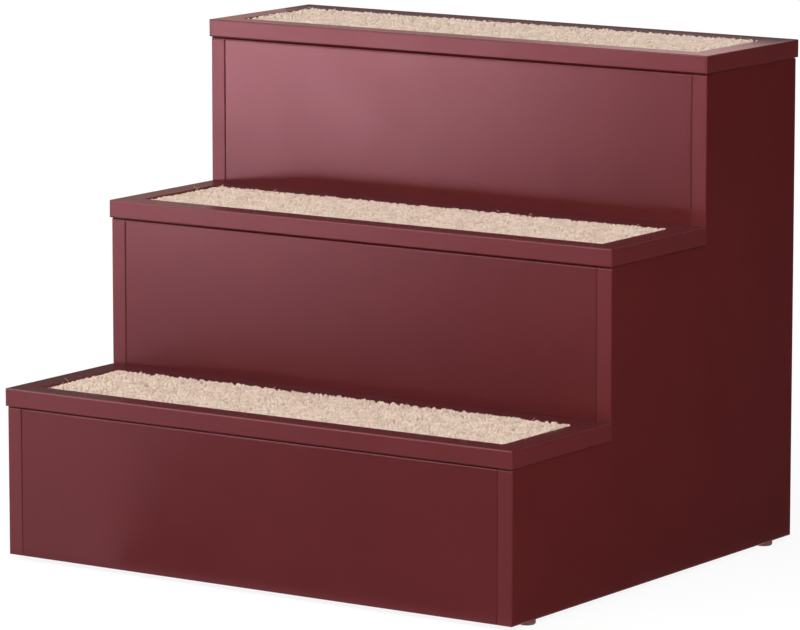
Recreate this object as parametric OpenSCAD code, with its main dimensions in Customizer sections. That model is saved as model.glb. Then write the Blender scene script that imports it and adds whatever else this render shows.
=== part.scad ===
// Three-step pet stairs: painted boards joined with hidden dowels and cam locks,
// and a carpet inset in a routed pocket of each tread.
// +X is to the right, +Y runs from the lowest step to the back, +Z is up.
// The origin is on the floor, under the middle of the overall box.

/* [Body] */
// Width over the outer faces of the side panels
body_w = 525; // [420:5:640]
// Depth from the lower riser's face to the back panel's face
body_d = 456; // [405:3:600]
// Height from the bottom of the side panels to the top of the upper tread
body_h = 444; // [375:3:540]
// Thickness of the side panels, the risers and the back panel
board_t = 15; // [14:0.5:18]
// How far the middle and upper risers reach below the tread in front of them
riser_lap = 40; // [30:1:60]
// Radius of the eased edges of the panels and risers
board_edge_r = 1; // [0.5:0.5:2]
// Radius of the top front edges right under a tread, and of the back panel's top rear edge
top_edge_r = 3; // [1:0.5:3]

/* [Treads] */
// Thickness of a tread
tread_t = 16; // [13:0.5:20]
// How far a tread stands proud of the riser below it
overhang_front = 2.5; // [1:0.5:8]
// How far a tread stands proud of each side panel
overhang_side = 1; // [1:0.5:8]
// How far the upper tread stands proud of the back panel
overhang_back = 3; // [1:0.5:8]
// Radius of the eased outer edges of a tread
tread_edge_r = 1.5; // [0.5:0.5:3]
// Tread border in front of the carpet pocket
border_front = 21.5; // [16:0.5:30]
// Tread border at each end of the carpet pocket
border_side = 22.5; // [16:0.5:30]
// Tread border between the pocket and the riser behind it
border_back = 27; // [20:0.5:34]
// Depth of the carpet pocket
pocket_depth = 6; // [4:0.5:7]
// Radius of the pocket's corners
pocket_corner_r = 2; // [1:0.5:4]

/* [Carpet] */
// Gap between the carpet and each wall of its pocket
carpet_gap = 0.6; // [0.3:0.1:1]
// How far the pile stands above the tread's border
pile_stand = 0.5; // [0:0.5:2]

/* [Cleats] */
// Width of a cleat, across the face that meets the tread
cleat_w = 18; // [16:1:24]
// Height of a cleat
cleat_h = 20; // [18:1:26]
// Length of a cleat screw
screw_l = 25; // [22:1:28]
// Diameter of a cleat screw
screw_d = 3.5; // [3:0.5:4]
// Distance of the outer pair of side cleat screws from the cleat's ends
side_screw_end = 20; // [15:1:24]
// Distance of the two tread screws in a side cleat from the cleat's ends
side_tread_screw_end = 38; // [34:1:42]
// Distance of the outer rear cleat screws from the cleat's ends
rear_screw_end = 35; // [25:1:45]
// Distance of the two tread screws in a rear cleat from the cleat's ends
rear_tread_screw_end = 110; // [80:1:140]

/* [Dowels and cam locks] */
// Diameter of a dowel
dowel_d = 8; // [6:1:8]
// Length of a dowel
dowel_l = 30; // [25:1:35]
// How deep a dowel sits in a side panel or a tread
dowel_seat = 9; // [7:1:10]
// Distance of the end dowels from the top and bottom edge of a riser
riser_dowel_end = 30; // [22:1:36]
// Distance of the outer dowels under a tread from the side panels
tread_dowel_end = 70; // [50:1:100]
// Diameter of a cam disc
cam_d = 15; // [12:1:16]
// Height of a cam disc
cam_h = 12; // [11:0.5:12]
// Distance of a cam disc's centre from the end of its board
cam_end = 24; // [24:1:34]
// Distance of the back panel's cam discs from its top and bottom edge
back_cam_end = 120; // [90:1:140]

/* [Floor glides] */
// Diameter of a floor glide
glide_d = 15; // [10:1:15]
// Height of a floor glide
glide_h = 4; // [3:0.5:8]
// Distance of a glide's centre from the front and back of its side panel
glide_end = 34; // [25:1:60]

/* [Hidden] */
$fn = 48;

// Colours of the boards, the raw wood, the carpet, the steel and the glides
paint = "#7d3039";
raw_wood = "#c9a577";
carpet_beige = "#dcc9b4";
zinc = "#b9bcc0";
glide_brown = "#5c3029";

// Clearance round a fastener in its hole, and below its end
fit_gap = 0.1;
end_gap = 0.5;
// How far a cut runs past the face that it opens
overrun = 1;

// Countersunk head of a screw, its pointed tip and its cross recess
screw_head_d = 7;
screw_head_h = 2.2;
screw_tip_h = 3;
screw_tip_d = 0.8;
recess_w = 1;
recess_l = 4;
recess_depth = 1.4;

// Cam bolt, from the thread in the side panel to the head in the cam disc
bolt_thread_d = 6;
bolt_thread_l = 10;
bolt_collar_d = 7.6;
bolt_collar_l = 1.5;
bolt_neck_d = 4.5;
bolt_neck_l = 5;
bolt_head_d = 7;
bolt_head_l = 3.5;
bolt_hole_d = 8;
// Gap round the bolt's head inside the disc, and round the disc in its recess
cam_gap = 0.3;
cam_slot_w = 1.6;
cam_slot_l = 9;
cam_slot_depth = 2;

// Nail of a glide: shank, head and the counterbore that hides the head
nail_d = 2;
nail_l = 14;
nail_head_d = 5;
nail_head_h = 1;
nail_bore_d = 6.4;
nail_bore_depth = 2;
glide_bevel = 1;

step_count = 3;
last = step_count - 1;
step_rise = body_h / step_count;
step_run = body_d / step_count;
inner_half = body_w / 2 - board_t;
tread_half = body_w / 2 + overhang_side;
pocket_half = tread_half - border_side;
pocket_d = step_run + overhang_front - border_front - border_back;
centre_y = (body_d + overhang_back - overhang_front) / 2;

// Underside of tread i, from 0 for the lower to 2 for the upper one
function under(i) = glide_h + (i + 1) * step_rise - tread_t;
// Back edge of tread i: it meets the next riser, and the upper tread passes the back panel
function tread_back(i) = (i + 1) * step_run + (i == last ? overhang_back : 0);
// Front face, inner face, bottom and top of cross board k: the risers, then the back panel
function board_y(k) = k > last ? body_d - board_t : k * step_run;
function inner_face(k) = k > last ? board_y(k) : board_y(k) + board_t;
function inward(k) = k > last ? -1 : 1;
function board_bottom(k) = k == 0 || k > last ? glide_h : under(k - 1) - riser_lap;
function board_top(k) = under(min(k, last));
function board_mid(k) = (board_bottom(k) + board_top(k)) / 2;
function dowel_heights(k) = [
    board_bottom(k) + riser_dowel_end,
    if (k > last) board_mid(k),
    board_top(k) - riser_dowel_end
];
function cam_heights(k) =
    k > last ? [board_bottom(k) + back_cam_end, board_top(k) - back_cam_end] : [board_mid(k)];
// Front and back ends of the side cleats, and the face that carries the rear cleat of tread i
function cleat_front(i) = board_y(i) + board_t;
function cleat_wall(i) = i == last ? body_d - board_t : board_y(i + 1);
function side_cleat_back(i) = cleat_wall(i) - cleat_w;

tread_dowel_x = [-(inner_half - tread_dowel_end), 0, inner_half - tread_dowel_end];
rear_screw_x = [-(inner_half - rear_screw_end), 0, inner_half - rear_screw_end];
rear_tread_screw_x =
    [-(inner_half - rear_tread_screw_end), inner_half - rear_tread_screw_end];
glide_y = [glide_end, body_d - glide_end];

// Moves a piece from the front of the body to the origin under the middle
module placed() translate([0, -centre_y, 0]) children();

// Turns a piece drawn along +Z so that it points to +X, -X or +Y
module point_x(side) rotate([0, side * 90, 0]) children();
module point_y() rotate([-90, 0, 0]) children();

module rounded_rectangle(w, h, r) {
    translate([r, 0]) square([w - 2 * r, h]);
    translate([0, r]) square([w, h - 2 * r]);
    for (x = [r, w - r], y = [r, h - r]) translate([x, y]) circle(r);
}

// A box whose twelve edges are all rounded by the same radius
module eased_box(w, d, h, r) {
    intersection() {
        linear_extrude(h) rounded_rectangle(w, d, r);
        translate([0, d, 0]) rotate([90, 0, 0]) linear_extrude(d) rounded_rectangle(w, h, r);
        rotate([90, 0, 90]) linear_extrude(w) rounded_rectangle(d, h, r);
    }
}

// Screw pointing up, with the flat face of its head at zero
module screw() {
    difference() {
        union() {
            cylinder(h = screw_head_h, d1 = screw_head_d, d2 = screw_d);
            cylinder(h = screw_l - screw_tip_h, d = screw_d);
            translate([0, 0, screw_l - screw_tip_h])
                cylinder(h = screw_tip_h, d1 = screw_d, d2 = screw_tip_d);
        }
        for (a = [0, 90])
            rotate([0, 0, a]) translate([-recess_l / 2, -recess_w / 2, -overrun])
                cube([recess_l, recess_w, recess_depth + overrun]);
    }
}
module screw_hole() {
    translate([0, 0, -overrun]) cylinder(h = overrun, d = screw_head_d + 2 * fit_gap);
    cylinder(h = screw_head_h, d1 = screw_head_d + 2 * fit_gap, d2 = screw_d + 2 * fit_gap);
    cylinder(h = screw_l + end_gap, d = screw_d + 2 * fit_gap);
}

// Places of the screws that hold the cleats of tread i to the boards beside them
module at_side_cleat_screws(i, side) {
    for (y = [cleat_front(i) + side_screw_end, side_cleat_back(i) - side_screw_end])
        translate([side * (inner_half - cleat_w), y, under(i) - cleat_h / 2])
            point_x(side) children();
}
module at_rear_cleat_screws(i) {
    for (x = rear_screw_x)
        translate([x, side_cleat_back(i), under(i) - cleat_h / 2]) point_y() children();
}
// Places of the screws that come up through the cleats into tread i
module at_side_tread_screws(i, side) {
    for (y = [cleat_front(i) + side_tread_screw_end, side_cleat_back(i) - side_tread_screw_end])
        translate([side * (inner_half - cleat_w / 2), y, under(i) - cleat_h]) children();
}
module at_rear_tread_screws(i) {
    for (x = rear_tread_screw_x)
        translate([x, cleat_wall(i) - cleat_w / 2, under(i) - cleat_h]) children();
}
module at_tread_screws(i) {
    for (side = [-1, 1]) at_side_tread_screws(i, side) children();
    at_rear_tread_screws(i) children();
}

// Places of the dowels at the ends of cross board k, pointing into a side panel
module at_end_dowels(k, side) {
    for (z = dowel_heights(k))
        translate([side * (inner_half - (dowel_l - dowel_seat)), board_y(k) + board_t / 2, z])
            point_x(side) children();
}
// Places of the dowels that stand in riser i and reach up into its tread
module at_tread_dowels(i) {
    for (x = tread_dowel_x)
        translate([x, board_y(i) + board_t / 2, under(i) - (dowel_l - dowel_seat)]) children();
}
module dowel_hole() {
    translate([0, 0, -end_gap]) cylinder(h = dowel_l + 2 * end_gap, d = dowel_d + 2 * fit_gap);
}

// Places of the cam bolts, starting on the inner face of a side panel and pointing inward
module at_cam_bolts(k, side) {
    for (z = cam_heights(k))
        translate([side * inner_half, board_y(k) + board_t / 2, z]) point_x(-side) children();
}
// Places of the cam discs, on the inner face of cross board k and pointing into the board
module at_cam_discs(k, side) {
    for (z = cam_heights(k))
        translate([side * (inner_half - cam_end), inner_face(k), z])
            rotate([inward(k) * 90, 0, 0]) children();
}
module cam_bolt() {
    translate([0, 0, -bolt_thread_l]) cylinder(h = bolt_thread_l, d = bolt_thread_d);
    cylinder(h = bolt_collar_l, d = bolt_collar_d);
    cylinder(h = cam_end - bolt_head_l / 2 - bolt_neck_l, d = bolt_thread_d);
    cylinder(h = cam_end, d = bolt_neck_d);
    translate([0, 0, cam_end - bolt_head_l / 2]) cylinder(h = bolt_head_l, d = bolt_head_d);
}
module cam_disc(k, side) {
    difference() {
        cylinder(h = cam_h, d = cam_d);
        // Way in for the bolt's head, from the end of the board
        translate([0, 0, board_t / 2]) point_x(side) translate([0, 0, -bolt_head_l / 2 - cam_gap])
            cylinder(h = cam_d, d = bolt_head_d + 2 * cam_gap);
        for (a = [0, 90])
            rotate([0, 0, a]) translate([-cam_slot_l / 2, -cam_slot_w / 2, -overrun])
                cube([cam_slot_l, cam_slot_w, cam_slot_depth + overrun]);
    }
}

// Corners of a side panel's stepped outline, seen from its side, going round to the left
side_corners = [
    [0, glide_h], [body_d, glide_h], [body_d, under(2)], [board_y(2), under(2)],
    [board_y(2), under(1)], [board_y(1), under(1)], [board_y(1), under(0)], [0, under(0)]
];
// What comes off a square corner at the origin to round it
module corner_waste(r) {
    difference() {
        translate([-overrun, -overrun]) square(r + overrun);
        translate([r, r]) circle(r);
    }
}
// Rounds a straight edge that runs from the origin along +X, with the board at +Y and +Z of it
module edge_cut(length, r) {
    rotate([90, 0, 90]) linear_extrude(length) corner_waste(r);
}
module stepped_outline() {
    difference() {
        for (i = [0:last]) translate([board_y(i), glide_h])
            rounded_rectangle(body_d - board_y(i), under(i) - glide_h, board_edge_r);
        for (i = [0:last]) translate([board_y(i), under(i)]) rotate(-90) corner_waste(top_edge_r);
        translate([body_d, under(last)]) rotate(180) corner_waste(top_edge_r);
    }
}
module stepped_board() {
    difference() {
        linear_extrude(board_t) stepped_outline();
        for (c = [0:len(side_corners) - 1]) {
            start = side_corners[c];
            way = side_corners[(c + 1) % len(side_corners)] - start;
            translate(start) rotate([0, 0, atan2(way.y, way.x)]) {
                edge_cut(norm(way), board_edge_r);
                translate([0, 0, board_t]) mirror([0, 0, 1]) edge_cut(norm(way), board_edge_r);
            }
        }
    }
}
module side_panel(side) {
    color(paint) placed() difference() {
        translate([side * (body_w - board_t) / 2 - board_t / 2, 0, 0])
            rotate([90, 0, 90]) stepped_board();
        for (k = [0:step_count]) {
            at_end_dowels(k, side) dowel_hole();
            at_cam_bolts(k, side) translate([0, 0, -bolt_thread_l - end_gap])
                cylinder(h = bolt_thread_l + end_gap + overrun, d = bolt_thread_d + 2 * fit_gap);
        }
        for (i = [0:last]) at_side_cleat_screws(i, side) screw_hole();
        for (y = glide_y) translate([side * (body_w - board_t) / 2, y, glide_h - overrun])
            cylinder(h = nail_l - (glide_h - nail_bore_depth) + end_gap + overrun,
                d = nail_d + 2 * fit_gap);
    }
}

// Riser or back panel k between the side panels, bored for its dowels and cam locks
module cross_board(k) {
    color(paint) placed() difference() {
        translate([-inner_half, board_y(k), board_bottom(k)])
            eased_box(2 * inner_half, board_t, board_top(k) - board_bottom(k), board_edge_r);
        if (k <= last) translate([-inner_half, board_y(k), board_top(k)])
            rotate([-90, 0, 0]) edge_cut(2 * inner_half, top_edge_r);
        else translate([-inner_half, body_d, board_top(k)])
            rotate([180, 0, 0]) edge_cut(2 * inner_half, top_edge_r);
        for (side = [-1, 1]) {
            at_end_dowels(k, side) dowel_hole();
            at_cam_bolts(k, side) translate([0, 0, -overrun])
                cylinder(h = cam_end + overrun, d = bolt_hole_d);
            at_cam_discs(k, side) translate([0, 0, -overrun])
                cylinder(h = cam_h + cam_gap + overrun, d = cam_d + 2 * cam_gap);
        }
        if (k <= last) at_tread_dowels(k) dowel_hole();
        if (k > 0) at_rear_cleat_screws(k - 1) screw_hole();
    }
}

module tread(i) {
    front = board_y(i) - overhang_front;
    color(paint) placed() difference() {
        translate([-tread_half, front, under(i)])
            eased_box(2 * tread_half, tread_back(i) - front, tread_t, tread_edge_r);
        translate([-pocket_half, front + border_front, under(i) + tread_t - pocket_depth])
            linear_extrude(pocket_depth + overrun)
                rounded_rectangle(2 * pocket_half, pocket_d, pocket_corner_r);
        at_tread_dowels(i) dowel_hole();
        at_tread_screws(i) screw_hole();
    }
}

module carpet(i) {
    color(carpet_beige) placed()
        translate([
            -pocket_half + carpet_gap, board_y(i) - overhang_front + border_front + carpet_gap,
            under(i) + tread_t - pocket_depth
        ])
            linear_extrude(pocket_depth + pile_stand)
                rounded_rectangle(
                    2 * (pocket_half - carpet_gap), pocket_d - 2 * carpet_gap, pocket_corner_r);
}

module side_cleat(i, side) {
    color(raw_wood) placed() difference() {
        translate([
            side * (inner_half - cleat_w / 2) - cleat_w / 2, cleat_front(i), under(i) - cleat_h
        ])
            cube([cleat_w, side_cleat_back(i) - cleat_front(i), cleat_h]);
        at_side_cleat_screws(i, side) screw_hole();
        at_side_tread_screws(i, side) screw_hole();
    }
}
module rear_cleat(i) {
    color(raw_wood) placed() difference() {
        translate([-inner_half, side_cleat_back(i), under(i) - cleat_h])
            cube([2 * inner_half, cleat_w, cleat_h]);
        at_rear_cleat_screws(i) screw_hole();
        at_rear_tread_screws(i) screw_hole();
    }
}

module glide(side, y) {
    color(glide_brown) placed() translate([side * (body_w - board_t) / 2, y, 0]) difference() {
        union() {
            cylinder(h = glide_bevel, d1 = glide_d - 2 * glide_bevel, d2 = glide_d);
            translate([0, 0, glide_bevel]) cylinder(h = glide_h - glide_bevel, d = glide_d);
        }
        translate([0, 0, -overrun]) cylinder(h = nail_bore_depth + overrun, d = nail_bore_d);
        cylinder(h = glide_h + overrun, d = nail_d + 2 * fit_gap);
    }
}
module glide_nails() {
    color(zinc) placed() for (side = [-1, 1], y = glide_y)
        translate([side * (body_w - board_t) / 2, y, nail_bore_depth]) {
            translate([0, 0, -nail_head_h]) cylinder(h = nail_head_h, d = nail_head_d);
            cylinder(h = nail_l, d = nail_d);
        }
}

module dowels() {
    color(raw_wood) placed() {
        for (k = [0:step_count], side = [-1, 1])
            at_end_dowels(k, side) cylinder(h = dowel_l, d = dowel_d);
        for (i = [0:last]) at_tread_dowels(i) cylinder(h = dowel_l, d = dowel_d);
    }
}
module cam_bolts() {
    color(zinc) placed() for (k = [0:step_count], side = [-1, 1]) at_cam_bolts(k, side) cam_bolt();
}
module cam_discs() {
    color(zinc) placed() for (k = [0:step_count], side = [-1, 1])
        at_cam_discs(k, side) cam_disc(k, side);
}
module cleat_screws() {
    color(zinc) placed() for (i = [0:last]) {
        for (side = [-1, 1]) at_side_cleat_screws(i, side) screw();
        at_rear_cleat_screws(i) screw();
    }
}
module tread_screws() {
    color(zinc) placed() for (i = [0:last]) at_tread_screws(i) screw();
}

side_panel(-1);  // left_side_panel
side_panel(1);  // right_side_panel
cross_board(0);  // lower_riser
cross_board(1);  // middle_riser
cross_board(2);  // upper_riser
cross_board(3);  // back_panel
tread(0);  // lower_tread
tread(1);  // middle_tread
tread(2);  // upper_tread
carpet(0);  // lower_carpet
carpet(1);  // middle_carpet
carpet(2);  // upper_carpet
side_cleat(0, -1);  // lower_left_cleat
side_cleat(0, 1);  // lower_right_cleat
rear_cleat(0);  // lower_rear_cleat
side_cleat(1, -1);  // middle_left_cleat
side_cleat(1, 1);  // middle_right_cleat
rear_cleat(1);  // middle_rear_cleat
side_cleat(2, -1);  // upper_left_cleat
side_cleat(2, 1);  // upper_right_cleat
rear_cleat(2);  // upper_rear_cleat
glide(-1, glide_y[0]);  // front_left_glide
glide(1, glide_y[0]);  // front_right_glide
glide(-1, glide_y[1]);  // rear_left_glide
glide(1, glide_y[1]);  // rear_right_glide
dowels();
cam_bolts();
cam_discs();
cleat_screws();
tread_screws();
glide_nails();
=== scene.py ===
# %% [markdown]
# Pet stairs in burgundy lacquer, with a strip of carpet let into each tread.
# The real thing is made of painted board: two stepped side panels carry three risers, a back panel
# and three treads. Each tread has a shallow pocket, and a strip of beige cut-pile carpet lies in it.
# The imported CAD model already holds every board, batten, dowel and screw at its real size.
# This script adds what a drawing can't show: the lacquer, the grain of the hidden wood, the plating
# of the fittings, and the carpet, which is grown here from thousands of ends of yarn.

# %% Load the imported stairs
import math
import random

import bmesh
import bpy
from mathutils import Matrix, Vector


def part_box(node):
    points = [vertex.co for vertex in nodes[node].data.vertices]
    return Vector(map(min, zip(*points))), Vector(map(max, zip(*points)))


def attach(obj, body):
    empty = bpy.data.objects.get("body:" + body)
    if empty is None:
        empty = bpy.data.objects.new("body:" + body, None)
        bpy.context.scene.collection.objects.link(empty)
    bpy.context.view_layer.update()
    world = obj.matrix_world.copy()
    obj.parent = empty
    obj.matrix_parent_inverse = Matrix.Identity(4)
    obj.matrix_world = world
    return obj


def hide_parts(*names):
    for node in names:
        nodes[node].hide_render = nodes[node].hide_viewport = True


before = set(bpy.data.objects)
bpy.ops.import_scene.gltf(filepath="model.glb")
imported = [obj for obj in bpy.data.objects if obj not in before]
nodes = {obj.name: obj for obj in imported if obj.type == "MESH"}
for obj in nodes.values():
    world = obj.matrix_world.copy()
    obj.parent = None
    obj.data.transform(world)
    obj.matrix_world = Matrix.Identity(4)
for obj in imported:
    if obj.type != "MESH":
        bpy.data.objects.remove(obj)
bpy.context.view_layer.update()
MILLIMETRE = 0.001

# %% [markdown]
# The stairs were photographed from their right front with a long lens, from a little above the top
# tread. A long lens far away keeps the edges nearly parallel. The camera is placed by two angles and
# a distance from the point that it aims at, because those are what a photographer would change.

# %% Camera
AIM_POINT = Vector((0.0, -0.0055, 0.2102))
CAMERA_AZIMUTH = math.radians(34.15)
CAMERA_ELEVATION = math.radians(9.30)
CAMERA_DISTANCE = 4.7055
LENS = 241.4
SENSOR = 36.0


def direction(azimuth, elevation):
    """The unit vector from the stairs towards a place that is azimuth to the right of the front."""
    level = math.cos(elevation)
    return Vector((math.sin(azimuth) * level, -math.cos(azimuth) * level, math.sin(elevation)))


camera_data = bpy.data.cameras.new("camera")
camera_data.lens = LENS
camera_data.sensor_width = SENSOR
camera = bpy.data.objects.new("camera", camera_data)
towards_camera = direction(CAMERA_AZIMUTH, CAMERA_ELEVATION)
camera.location = AIM_POINT + towards_camera * CAMERA_DISTANCE
camera.rotation_euler = (-towards_camera).to_track_quat("-Z", "Y").to_euler()
bpy.context.scene.collection.objects.link(camera)
bpy.context.scene.camera = camera
print("camera at", tuple(round(value, 3) for value in camera.location))

# %% [markdown]
# Every finish below is a small network of shader nodes. These helpers keep the networks short: one
# adds a node and fills its inputs, one starts a material, and the others do a sum on a value or take
# a vector apart. The Geometry Nodes trees further down use them too.


# %% Helpers for nodes and sums
def fill(tree, socket, value):
    """Links an input to the socket that it is given, or sets it to a plain value."""
    if isinstance(value, bpy.types.NodeSocket):
        tree.links.new(value, socket)
    else:
        socket.default_value = value


def add_node(tree, kind, inputs=None, **properties):
    """A new node with its properties set and its inputs filled, by name or by number."""
    node = tree.nodes.new(kind)
    for name, value in properties.items():
        setattr(node, name, value)
    for name, value in (inputs or {}).items():
        fill(tree, node.inputs[name], value)
    return node


def new_material(name, roughness=0.5, metallic=0.0):
    """A material with its shader, its node tree, and the socket with Object coordinates."""
    material = bpy.data.materials.new(name)
    material.use_nodes = True
    tree = material.node_tree
    tree.nodes.clear()
    shader = add_node(tree, "ShaderNodeBsdfPrincipled", {"Roughness": roughness, "Metallic": metallic})
    add_node(tree, "ShaderNodeOutputMaterial", {"Surface": shader.outputs["BSDF"]})
    place = add_node(tree, "ShaderNodeTexCoord").outputs["Object"]
    return material, tree, shader, place


def calculate(tree, operation, first, second=0.0):
    """A sum, product or other operation on two values."""
    return add_node(tree, "ShaderNodeMath", {0: first, 1: second}, operation=operation).outputs[0]


def blended(tree, first, first_share, second, second_share):
    """A share of one value added to a share of another."""
    first_part = calculate(tree, "MULTIPLY", first, first_share)
    second_part = calculate(tree, "MULTIPLY", second, second_share)
    return calculate(tree, "ADD", first_part, second_part)


def spread(tree, value, low, high, new_low=0.0, new_high=1.0):
    """Stretches a value between low and high over a new range, and holds it there."""
    settings = {"Value": value, "From Min": low, "From Max": high, "To Min": new_low, "To Max": new_high}
    return add_node(tree, "ShaderNodeMapRange", settings).outputs[0]


def part_of(tree, vector, axis):
    """The X, Y or Z of a vector."""
    return add_node(tree, "ShaderNodeSeparateXYZ", {0: vector}).outputs[axis]


def along(tree, vector, heading):
    """How far a vector reaches in the direction of heading, which is a unit vector."""
    node = add_node(tree, "ShaderNodeVectorMath", {0: vector, 1: heading}, operation="DOT_PRODUCT")
    return node.outputs["Value"]


# %% [markdown]
# A finish needs patterns too. They read Object coordinates, which are metres in the stairs' own
# frame, so a scale of 400 means 400 specks in a metre on every board alike. Relief is done with bump,
# which tilts the shading and leaves the shape alone: that is enough for marks finer than a millimetre.


# %% Helpers for patterns and colours
def noise(tree, place, scale, detail=2.0, roughness=0.5):
    """Cloudy noise from 0 to 1, with about scale clouds to the metre."""
    settings = {"Vector": place, "Scale": scale, "Detail": detail, "Roughness": roughness}
    return add_node(tree, "ShaderNodeTexNoise", settings).outputs[0]


def stretched(tree, place, scale):
    """Coordinates scaled by another factor along each axis, so that a pattern gets a direction."""
    return add_node(tree, "ShaderNodeMapping", {"Vector": place, "Scale": scale}).outputs[0]


def mixed(tree, factor, first, second):
    """A colour that goes from the first to the second as factor goes from 0 to 1."""
    return add_node(tree, "ShaderNodeMix", {0: factor, 6: first, 7: second}, data_type="RGBA").outputs[2]


def raised(tree, height, distance, below=None):
    """Bump: a height from 0 to 1 stands distance metres proud. It is added to the bump below it."""
    inputs = {"Height": height, "Distance": distance, "Strength": 1.0}
    if below is not None:
        inputs["Normal"] = below
    return add_node(tree, "ShaderNodeBump", inputs).outputs[0]


def colour(red, green, blue):
    """A colour with its alpha, in the linear values that a shader takes."""
    return (red, green, blue, 1.0)


# %% [markdown]
# The boards are fibreboard sprayed with a satin burgundy lacquer. Up close such a coat is never
# quite one colour. The film is a little thicker in places, which darkens it. Level tops are given a
# deeper colour still, as painted shade that holds back the light from above. Cut edges are given a
# paler colour, as a painted highlight for the light that their slight tilt catches, and they are
# duller than the faces. The coat dries to a fine orange-peel surface on slow waves, and both soften
# what it mirrors. Faces that look into the stairs only caught a thin mist, so the brown board shows
# through.

# %% Colours and depths of the lacquer
LACQUER_THIN = colour(0.120, 0.0135, 0.0135)
LACQUER_THICK = colour(0.104, 0.0110, 0.0112)
# A deeper colour for level tops, as painted shade.
TOP_LACQUER_PAINTED_SHADE = colour(0.064, 0.0072, 0.0072)
# Paler colours for cut edges, as a painted highlight.
EDGE_LACQUER_PAINTED_LIGHT = colour(0.142, 0.0205, 0.0220)
EDGE_LACQUER_PAINTED_LIGHT_DEEP = colour(0.126, 0.0185, 0.0200)
LACQUER_MIST = colour(0.080, 0.015, 0.014)
BARE_BOARD = colour(0.235, 0.130, 0.070)
SHEEN_TINT = colour(1.0, 0.46, 0.57)
SHEEN_LEVEL = 0.5

CLOUDS_PER_METRE = 14.0
SPECKS_PER_METRE = 520.0
BOARD_FIBRES_PER_METRE = 900.0
PEEL_PER_METRE = 330.0
PEEL_DEPTH = 0.04 * MILLIMETRE
WAVES_PER_METRE = 26.0
WAVE_DEPTH = 0.12 * MILLIMETRE

GLOSSIEST = 0.235
DULLEST = 0.265
EDGE_DULLNESS = 0.043
MIST_DULLNESS = 0.62

# %% [markdown]
# One function makes the finish, and it takes the direction in which a board's hidden face looks.
# Geometry's Normal, held against that direction, tells the shader where it is: a value of 1 is the
# hidden face, 0 is a cut edge, and Z alone tells a level top. So one material serves a whole board.

# %% Burgundy lacquer
FACES_IT = (0.75, 0.95)
IS_EDGE_ON = (0.5, 0.2)


def lacquered_board(name, hidden_side):
    """Lacquer on the faces that show, and a thin mist of it on the face that looks to hidden_side."""
    material, tree, shader, place = new_material(name)
    normal = add_node(tree, "ShaderNodeNewGeometry").outputs["Normal"]
    facing = along(tree, normal, hidden_side)
    hidden = spread(tree, facing, *FACES_IT)
    cut_edge = spread(tree, calculate(tree, "ABSOLUTE", facing), *IS_EDGE_ON)
    level = spread(tree, part_of(tree, normal, "Z"), *FACES_IT)

    clouds = spread(tree, noise(tree, place, CLOUDS_PER_METRE), 0.25, 0.75)
    specks = noise(tree, place, SPECKS_PER_METRE, 2.0, 0.6)
    film = blended(tree, specks, 0.3, clouds, 0.7)
    coat = mixed(tree, film, LACQUER_THICK, LACQUER_THIN)
    # Painted highlight: cut edges get a paler colour for the light that their slight tilt catches.
    edge_coat_painted_light = mixed(tree, film, EDGE_LACQUER_PAINTED_LIGHT_DEEP, EDGE_LACQUER_PAINTED_LIGHT)
    coat = mixed(tree, cut_edge, coat, edge_coat_painted_light)
    # Painted shade: level tops get a deeper colour, which holds back the light from above.
    coat = mixed(tree, level, coat, TOP_LACQUER_PAINTED_SHADE)
    fibres = spread(tree, noise(tree, place, BOARD_FIBRES_PER_METRE, 3.0, 0.7), 0.42, 0.66)
    mist = mixed(tree, fibres, LACQUER_MIST, BARE_BOARD)
    tree.links.new(mixed(tree, hidden, coat, mist), shader.inputs["Base Color"])

    satin = spread(tree, clouds, 0.0, 1.0, GLOSSIEST, DULLEST)
    satin = calculate(tree, "ADD", satin, calculate(tree, "MULTIPLY", cut_edge, EDGE_DULLNESS))
    misty = calculate(tree, "MULTIPLY", hidden, MIST_DULLNESS)
    tree.links.new(calculate(tree, "MAXIMUM", satin, misty), shader.inputs["Roughness"])
    peel = raised(tree, noise(tree, place, PEEL_PER_METRE, 1.0), PEEL_DEPTH)
    waves = raised(tree, noise(tree, place, WAVES_PER_METRE, 1.0), WAVE_DEPTH, peel)
    tree.links.new(waves, shader.inputs["Normal"])
    shader.inputs["Specular Tint"].default_value = SHEEN_TINT
    shader.inputs["Specular IOR Level"].default_value = SHEEN_LEVEL
    return material


# %% [markdown]
# Each board is hidden on the side that looks into the stairs. The two side panels look at each other,
# the risers are hidden at the back, the back panel at the front and the treads below. Boards that
# hide the same side share a material. A CAD node keeps its shape and only gets the material.

# %% Lacquer the boards
STOREYS = ("lower", "middle", "upper")
HIDDEN_SIDES = {
    "left_side_panel": (1.0, 0.0, 0.0),
    "right_side_panel": (-1.0, 0.0, 0.0),
    "back_panel": (0.0, -1.0, 0.0),
}
for storey in STOREYS:
    HIDDEN_SIDES[storey + "_riser"] = (0.0, 1.0, 0.0)
    HIDDEN_SIDES[storey + "_tread"] = (0.0, 0.0, -1.0)


def dress(node_name, material):
    """Gives a CAD node its finish, and leaves its shape alone."""
    for slot in nodes[node_name].material_slots:
        slot.material = material


lacquers = {}
for board, hidden_side in HIDDEN_SIDES.items():
    if hidden_side not in lacquers:
        lacquers[hidden_side] = lacquered_board("burgundy_lacquer_" + board, hidden_side)
    dress(board, lacquers[hidden_side])
print("lacquered boards:", len(HIDDEN_SIDES), "with", len(lacquers), "materials")

# %% [markdown]
# Under each tread run three battens of planed softwood, left raw. Its look is the grain: pale wood
# between darker yearly rings, all drawn out along the stick. Here a noise that is squeezed across
# the stick and stretched along it bends the rings, and a finer one gives the fibres.

# %% Softwood battens
SPRING_WOOD = colour(0.66, 0.47, 0.26)
SUMMER_WOOD = colour(0.42, 0.23, 0.095)
RING_SPACING = 3.2 * MILLIMETRE
RING_BEND = 24.0 * MILLIMETRE
BENDS_PER_METRE = 38.0
WOOD_FIBRES_PER_METRE = 1900.0
STRETCH_SHARE = 0.06


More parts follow.
